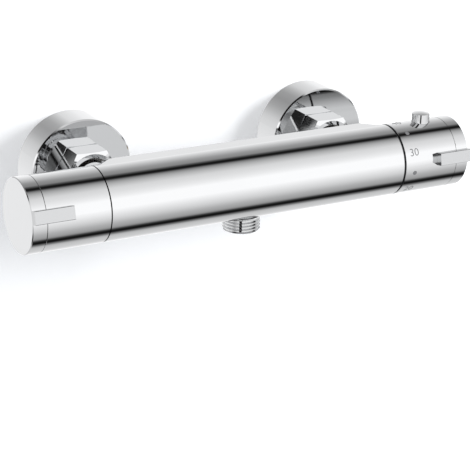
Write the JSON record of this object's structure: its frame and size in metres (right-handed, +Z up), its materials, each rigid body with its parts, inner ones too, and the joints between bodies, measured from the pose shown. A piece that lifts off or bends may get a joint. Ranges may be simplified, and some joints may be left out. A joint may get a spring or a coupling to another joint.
{
  "type": "thermostatic shower valve",
  "caption": "Wall-mounted exposed bar valve for a shower, with a temperature handle and stop button on one end and a flow handle on the other.",
  "frame": {"origin": "midpoint between the axes of the two threaded wall studs, on the wall's surface where the flanges' rims rest", "axes": "+X along the bar from the flow handle to the temperature handle, +Z up, +Y into the wall, so that the bar stands out towards -Y"},
  "size_m": [0.265, 0.1082, 0.059],
  "materials": {
    "chrome": "polished",
    "brass": "machined",
    "steel": "drawn stainless steel",
    "rubber": "moulded sealing rubber",
    "plastic": "moulded acetal",
    "fibre": "pressed fibre washer",
    "ceramic": null
  },
  "bodies": {
    "valve": {"valve_body": "chrome", "outlet_nipple": "chrome", "outlet_o_ring": "rubber", "wall_flange_left": "chrome", "wall_flange_right": "chrome", "eccentric_connector_left": "brass", "eccentric_connector_right": "brass", "union_nut_left": "chrome", "union_nut_right": "chrome", "union_gasket_left": "rubber", "union_gasket_right": "rubber", "inlet_strainer_left": "steel", "inlet_strainer_right": "steel", "inlet_tail_left": "chrome", "inlet_tail_right": "chrome", "tail_o_ring_left": "rubber", "tail_o_ring_right": "rubber", "check_housing_left": "plastic", "check_housing_right": "plastic", "check_spring_left": "steel", "check_spring_right": "steel", "headwork_body": "brass", "headwork_gasket": "fibre", "ceramic_disc_fixed": "ceramic", "headwork_seat_seal": "rubber", "temperature_glide_ring": "plastic", "temperature_stop_ring": "plastic", "cartridge_head": "brass", "cartridge_sleeve": "brass", "cartridge_o_rings": "rubber", "return_spring": "steel"},
    "flow_control": {"flow_handle_sleeve": "chrome", "flow_handle_cap": "chrome", "flow_handle_grip": "chrome", "flow_handle_screw": "steel", "flow_cap_ring": "rubber", "headwork_spindle": "brass", "headwork_o_ring": "rubber", "headwork_circlip": "steel", "ceramic_disc_turning": "ceramic"},
    "temperature_control": {"temperature_handle_sleeve": "chrome", "temperature_handle_cap": "chrome", "temperature_handle_grip": "chrome", "temperature_handle_screw": "steel", "temperature_cap_ring": "rubber", "regulating_spindle": "brass", "spindle_o_ring": "rubber", "stop_button_spring": "steel"},
    "stop_button": {"stop_button": "chrome"},
    "set_nut": {"regulating_nut": "brass", "overload_spring": "steel", "overload_plunger": "steel", "wax_piston": "steel"},
    "mixer": {"wax_element": "brass", "mixing_shuttle": "plastic", "shuttle_o_ring": "rubber"},
    "left_check": {"check_poppet_left": "plastic"},
    "right_check": {"check_poppet_right": "plastic"}
  },
  "joints": [
    {"name": "flow_handle", "type": "hinge", "parent": "valve", "child": "flow_control", "pos_m": [-0.11, -0.068, 0.008], "axis": [-1, 0, 0], "range_deg": [0, 90]},
    {"name": "temperature_handle", "type": "hinge", "parent": "valve", "child": "temperature_control", "pos_m": [0.11, -0.068, 0.008], "axis": [-1, 0, 0], "range_deg": [0, 123]},
    {"name": "stop_button", "type": "slide", "parent": "temperature_control", "child": "stop_button", "axis": [0, 0, -1], "range_m": [0, 0.003], "stiffness_N_per_m": 1200, "springref_m": -0.001, "deforming": ["stop_button_spring"]},
    {"name": "set_nut", "type": "slide", "parent": "valve", "child": "set_nut", "axis": [1, 0, 0], "range_m": [0, 0.0007]},
    {"name": "wax_stroke", "type": "slide", "parent": "set_nut", "child": "mixer", "axis": [-1, 0, 0], "range_m": [-0.0004, 0.001], "stiffness_N_per_m": 4000, "deforming": ["return_spring"]},
    {"name": "left_check", "type": "slide", "parent": "valve", "child": "left_check", "axis": [0, -1, 0], "range_m": [0, 0.003], "stiffness_N_per_m": 60, "springref_m": -0.003, "deforming": ["check_spring_left"]},
    {"name": "right_check", "type": "slide", "parent": "valve", "child": "right_check", "axis": [0, -1, 0], "range_m": [0, 0.003], "stiffness_N_per_m": 60, "springref_m": -0.003, "deforming": ["check_spring_right"]}
  ],
  "couplings": [
    {"joint": "set_nut", "follows": "temperature_handle", "m_per_rad": 0.00031831}
  ]
}
